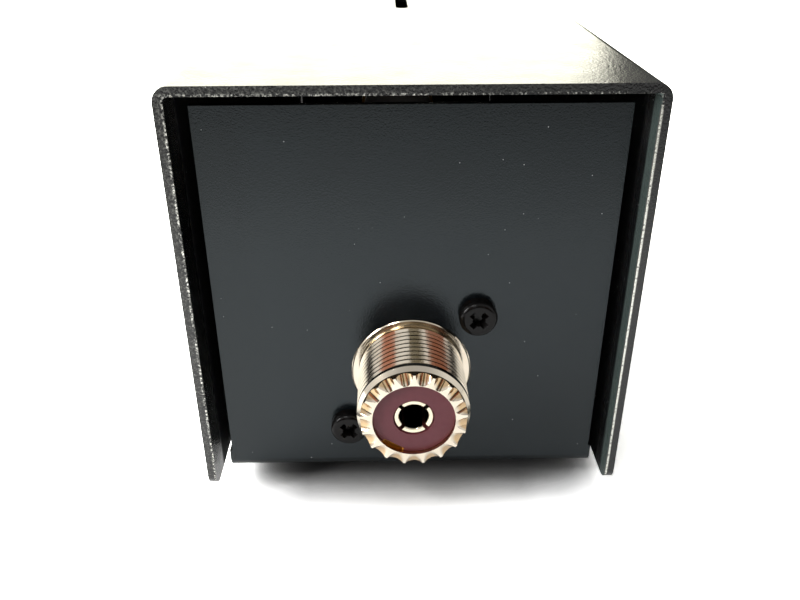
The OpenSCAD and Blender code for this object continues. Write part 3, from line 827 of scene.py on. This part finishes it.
def spring_bronze():
    """Rolled spring bronze strip: warm brown metal with fine rolling lines."""
    material, tree, where, shader = start_material("spring_bronze")
    surface(
        tree, where, shader, ("#8f7443", "#735731"),
        patch_mm=2, roughness=(0.26, 0.38), grain_mm=0.2, height_mm=0.005,
    )
    shader.inputs["Metallic"].default_value = 1.0
    return material


def glazed_steatite():
    """Cream steatite with a clear glaze."""
    material, tree, where, shader = start_material("glazed_steatite")
    surface(
        tree, where, shader, ("#e9e2d2", "#f1ebdf"),
        patch_mm=2, roughness=(0.12, 0.22), grain_mm=0.8, height_mm=0.01,
    )
    shader.inputs["IOR"].default_value = 1.55
    return material


def turned_brass():
    """Turned brass bar, lightly dulled."""
    material, tree, where, shader = start_material("turned_brass")
    surface(
        tree, where, shader, ("#c9a75a", "#b48f45"),
        patch_mm=1.5, roughness=(0.22, 0.34), grain_mm=0.2, height_mm=0.005,
    )
    shader.inputs["Metallic"].default_value = 1.0
    return material


def bare_copper():
    """Bare copper strip, browned by handling."""
    material, tree, where, shader = start_material("bare_copper")
    surface(
        tree, where, shader, ("#c07a4c", "#97552f"),
        patch_mm=2, roughness=(0.28, 0.42), grain_mm=0.25, height_mm=0.005,
    )
    shader.inputs["Metallic"].default_value = 1.0
    return material


finishes = {
    "cover_paint": textured_black_enamel(),
    "panel_paint": satin_black_enamel(),
    "black_screw": black_oxide(),
    "rubber": moulded_rubber(),
    "nickel": bright_nickel(),
    "phenolic": red_brown_phenolic(),
    "contact_plating": silver_plate(),
    "zinc_steel": zinc_plate(),
    "resistor_ceramic": carbon_ceramic(),
    "clip_bronze": spring_bronze(),
    "steatite": glazed_steatite(),
    "brass": turned_brass(),
    "copper": bare_copper(),
}
slot_of = {part["node"]: part["material_slot"] for part in frame["record"]["subparts"]}


def dress(piece, slot):
    """Gives a piece the finish of its slot."""
    piece.data.materials.clear()
    piece.data.materials.append(finishes[slot])


def adopt(piece, name):
    """Lets a modelled piece stand for a CAD node and take that node's finish."""
    dress(piece, slot_of[name])
    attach(piece, "root")
    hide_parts(name)


for name, cad in nodes.items():
    dress(cad, slot_of[name])
adopt(cover, "cover")
adopt(chassis, "chassis")
adopt(insulator, "connector_insulator")
adopt(contact, "center_contact")
adopt(shell, "connector_shell")
for screw in flange_screws:
    adopt(screw, "flange_screws")
for screw in cover_screws:
    adopt(screw, "cover_screws")
for screw in pillar_screws:
    adopt(screw, "pillar_screws")


# Studio

# The room's light on things, and how white the table looks to the camera and in reflections
FILL = 0.10
FLOOR_SEEN = 3.1
FLOOR_MIRRORED = 1.45

# Table in metres, its white, and the soft shadow under the housing: its reach, strength and lift from black
TABLE_SIZE = 1.8
TABLE_WHITE = 0.8
SHADOW_REACH = 10 * MM
SHADOW_STRENGTH = 3.4
SHADOW_LIFT = 0.05

# Cards across the viewer's side: their distance, and the height where the dark one ends
CARDS_Y = -0.40
DARK_TOP = 0.080
BROWN_TOP = 0.230


def seen(tree):
    """1 for what the camera, a reflection or glass sees, and 0 for light that falls on things."""
    path = node(tree, "ShaderNodeLightPath")
    direct = node(tree, "ShaderNodeMath", {"operation": "ADD", "use_clamp": True}, {
        0: path.outputs["Is Camera Ray"], 1: path.outputs["Is Glossy Ray"]
    })
    both = node(tree, "ShaderNodeMath", {"operation": "ADD", "use_clamp": True}, {
        0: direct.outputs[0], 1: path.outputs["Is Transmission Ray"]
    })
    return both.outputs[0]


def matt_card(name, colour):
    """Plain matt card for the studio."""
    material = bpy.data.materials.new(name)
    material.use_nodes = True
    tree = material.node_tree
    tree.nodes.clear()
    matt = node(tree, "ShaderNodeBsdfDiffuse", inputs={"Color": colour})
    node(tree, "ShaderNodeOutputMaterial", inputs={"Surface": matt.outputs["BSDF"]})
    return material, tree, matt


def set_card(name, material, low, high):
    """Sets a card between two corners, standing or lying, for reflections only and out of the view."""
    bpy.ops.object.select_all(action="DESELECT")
    bpy.ops.mesh.primitive_plane_add(size=1)
    card = bpy.context.object
    card.name = name
    low, high = Vector(low), Vector(high)
    span = high - low
    stands = span.y == 0
    turn = Matrix.Rotation(math.radians(90 if stands else 0), 4, "X")
    size = Matrix.Diagonal((span.x, span.z if stands else span.y, 1, 1))
    put(card, Matrix.Translation((low + high) / 2) @ turn @ size)
    card.data.materials.append(material)
    card.visible_camera = False
    card.visible_diffuse = False
    card.visible_shadow = False


def softbox(name, middle, aim, size, watts, colour="#ffffff"):
    """Adds an area lamp that looks from its middle towards a point."""
    lamp = bpy.data.lights.new(name, "AREA")
    lamp.shape = "RECTANGLE"
    lamp.size, lamp.size_y = size
    lamp.energy = watts
    lamp.color = linear(colour)[:3]
    holder = bpy.data.objects.new(name, lamp)
    look = Vector(aim) - Vector(middle)
    holder.matrix_world = Matrix.Translation(middle) @ look.to_track_quat("-Z", "Y").to_matrix().to_4x4()
    holder.visible_camera = False
    bpy.context.scene.collection.objects.link(holder)
    return holder


def set_white_room():
    """World that looks white, greyer overhead, and lights things only a little."""
    world = bpy.data.worlds.new("white_room")
    bpy.context.scene.world = world
    world.use_nodes = True
    tree = world.node_tree
    tree.nodes.clear()
    way = node(tree, "ShaderNodeTexCoord").outputs["Generated"]
    height = node(tree, "ShaderNodeSeparateXYZ", inputs={"Vector": way}).outputs["Z"]
    shown = node(tree, "ShaderNodeMapRange", inputs={
        "Value": height, "From Min": 0.55, "From Max": 0.90, "To Min": 1.0, "To Max": 0.6
    })
    level = node(tree, "ShaderNodeMapRange", inputs={
        "Value": seen(tree), "To Min": FILL, "To Max": shown.outputs["Result"]
    })
    sky = node(tree, "ShaderNodeBackground", inputs={
        "Color": (1, 1, 1, 1), "Strength": level.outputs["Result"]
    })
    node(tree, "ShaderNodeOutputWorld", inputs={"Surface": sky.outputs["Background"]})


def set_white_table():
    """Table that looks white, with a soft shadow close under the housing that fades out to both sides."""
    bpy.ops.object.select_all(action="DESELECT")
    bpy.ops.mesh.primitive_plane_add(size=TABLE_SIZE)
    floor = bpy.context.object
    floor.name = "white_table"
    paper, tree, matt = matt_card("white_card", (TABLE_WHITE, TABLE_WHITE, TABLE_WHITE, 1))
    where = node(tree, "ShaderNodeTexCoord").outputs["Object"]
    across = node(tree, "ShaderNodeSeparateXYZ", inputs={"Vector": where}).outputs["X"]
    from_left = node(tree, "ShaderNodeMapRange", inputs={
        "Value": across, "From Min": -27 * MM, "From Max": -17 * MM, "To Min": 0.2, "To Max": SHADOW_STRENGTH
    })
    from_right = node(tree, "ShaderNodeMapRange", inputs={
        "Value": across, "From Min": 29 * MM, "From Max": 18 * MM, "To Min": 1.0, "To Max": SHADOW_STRENGTH
    })
    strength = node(tree, "ShaderNodeMath", {"operation": "MINIMUM"}, {
        0: from_left.outputs["Result"], 1: from_right.outputs["Result"]
    })
    nook = node(tree, "ShaderNodeAmbientOcclusion", {"samples": 16}, {"Distance": SHADOW_REACH})
    close = node(tree, "ShaderNodeMath", {"operation": "POWER"}, {
        0: nook.outputs["AO"], 1: strength.outputs[0]
    })
    lifted = node(tree, "ShaderNodeMapRange", inputs={"Value": close.outputs[0], "To Min": SHADOW_LIFT})
    to_camera = node(tree, "ShaderNodeLightPath").outputs["Is Camera Ray"]
    white = node(tree, "ShaderNodeMapRange", inputs={
        "Value": to_camera, "To Min": FLOOR_MIRRORED, "To Max": FLOOR_SEEN
    })
    shown = node(tree, "ShaderNodeMath", {"operation": "MULTIPLY"}, {
        0: lifted.outputs["Result"], 1: white.outputs["Result"]
    })
    tone = node(tree, "ShaderNodeMapRange", inputs={
        "Value": seen(tree), "To Min": TABLE_WHITE, "To Max": shown.outputs[0]
    })
    tree.links.new(tone.outputs["Result"], matt.inputs["Color"])
    floor.data.materials.append(paper)


set_white_room()
set_white_table()

# What stood round the viewing point, for the reflections in the plating and the panel
dark_cloth = matt_card("dark_cloth", linear("#1c1a1a"))[0]
brown_cloth = matt_card("brown_cloth", linear("#8c5a47"))[0]
olive_cloth = matt_card("olive_cloth", linear("#5e5847"))[0]
grey_wall = matt_card("grey_wall", linear("#6a6a68"))[0]
pale_cloth = matt_card("pale_cloth", linear("#f4f4f2"))[0]
set_card("grey_back_right", grey_wall, (0.195, 0.56, 0.0), (0.90, 0.56, 0.50))
set_card("dark_low", dark_cloth, (-0.42, CARDS_Y, 0.002), (0.42, CARDS_Y, DARK_TOP))
set_card("olive_middle", olive_cloth, (0.0, CARDS_Y, DARK_TOP), (0.100, CARDS_Y, 0.260))
set_card("brown_left", brown_cloth, (-0.210, CARDS_Y, DARK_TOP), (-0.100, CARDS_Y, BROWN_TOP))
set_card("brown_right", brown_cloth, (0.140, CARDS_Y, DARK_TOP), (0.310, CARDS_Y, BROWN_TOP))
set_card("pale_mat", pale_cloth, (-0.60, -0.80, 0.0005), (0.60, -0.20, 0.0005))

ceiling = softbox("ceiling_lamp", middle=(0, -0.05, 1.0), aim=(0, -0.05, 0), size=(1.0, 1.0), watts=4.6)
ceiling.visible_glossy = False
softbox("side_lamp", middle=(-0.45, -0.30, 0.24), aim=(0.03, -0.075, 0.035), size=(0.06, 0.24), watts=1.6)
softbox("upper_lamp", middle=(-0.20, -0.34, 0.45), aim=(0.01, -0.075, 0.03), size=(0.20, 0.035), watts=0.55)
softbox("left_window", middle=(-0.75, 0.35, 0.36), aim=(0, 0, 0.03), size=(0.60, 0.60), watts=10.0)
softbox(
    "back_window", middle=(-0.21, 0.55, 0.24), aim=(-0.21, 0, 0.24), size=(0.81, 0.44), watts=3.25,
    colour="#fffce2",
)

# Camera at the photograph's viewing point
FILM_WIDTH_MM = 36
LENS_MM = 35.126
CAMERA_AT = Vector((-3.426, -173.044, 87.617)) * MM
PITCH, YAW, ROLL = (math.radians(a) for a in (28.004, 1.016, 0.186))
forward = Vector((math.sin(YAW) * math.cos(PITCH), math.cos(YAW) * math.cos(PITCH), -math.sin(PITCH)))
level_right = Vector((math.cos(YAW), -math.sin(YAW), 0))
level_down = forward.cross(level_right)
right = math.cos(ROLL) * level_right + math.sin(ROLL) * level_down
down = math.cos(ROLL) * level_down - math.sin(ROLL) * level_right
lens = bpy.data.cameras.new("viewpoint")
lens.sensor_width = FILM_WIDTH_MM
lens.lens = LENS_MM
lens.clip_start = 0.005
lens.clip_end = 20
camera = bpy.data.objects.new("viewpoint", lens)
camera.matrix_world = Matrix.Translation(CAMERA_AT) @ Matrix((right, -down, -forward)).transposed().to_4x4()
bpy.context.scene.collection.objects.link(camera)
bpy.context.scene.camera = camera
bpy.context.scene.view_settings.view_transform = "Standard"
